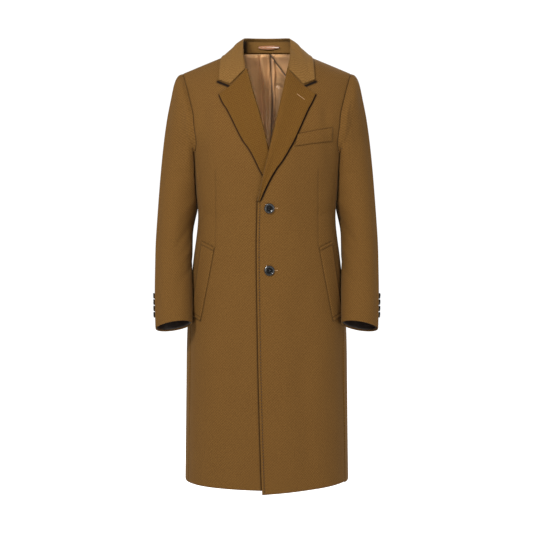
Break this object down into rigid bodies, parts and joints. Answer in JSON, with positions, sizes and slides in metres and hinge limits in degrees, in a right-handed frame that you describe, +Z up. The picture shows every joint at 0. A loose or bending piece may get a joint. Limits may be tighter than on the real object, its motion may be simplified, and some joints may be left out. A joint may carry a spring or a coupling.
{
  "type": "single-breasted wool overcoat",
  "caption": "Long single-breasted wool overcoat with notch lapels, a welt chest pocket, slanted side pockets and a back vent, filled out as worn and hollow.",
  "frame": {"origin": "the middle of the neck opening at the height of the shoulder seams' inner ends, where the wearer's shoulders carry the coat", "axes": "+Z up along the coat, -Y the way the front faces, +X towards the wearer's left"},
  "size_m": [0.5784, 0.3281, 1.17],
  "materials": {
    "wool": "brown wool twill with a short nap",
    "lining_satin": "bronze satin",
    "cuff_satin": "dark brown satin",
    "horn": "polished dark horn"
  },
  "bodies": {
    "root": {"front_left": "wool", "front_right": "wool", "back_left": "wool", "back_right": "wool", "sleeve_top_left": "wool", "sleeve_top_right": "wool", "sleeve_under_left": "wool", "sleeve_under_right": "wool", "collar_stand": "wool", "collar_fall": "wool", "lapel_left": "wool", "lapel_right": "wool", "chest_welt": "wool", "side_welt_left": "wool", "side_welt_right": "wool", "back_lining": "lining_satin", "hanger_loop": "lining_satin", "cuff_lining_left": "cuff_satin", "cuff_lining_right": "cuff_satin", "button_upper": "horn", "button_lower": "horn", "cuff_button_left_1": "horn", "cuff_button_left_2": "horn", "cuff_button_left_3": "horn", "cuff_button_left_4": "horn", "cuff_button_right_1": "horn", "cuff_button_right_2": "horn", "cuff_button_right_3": "horn", "cuff_button_right_4": "horn"}
  },
  "joints": []
}
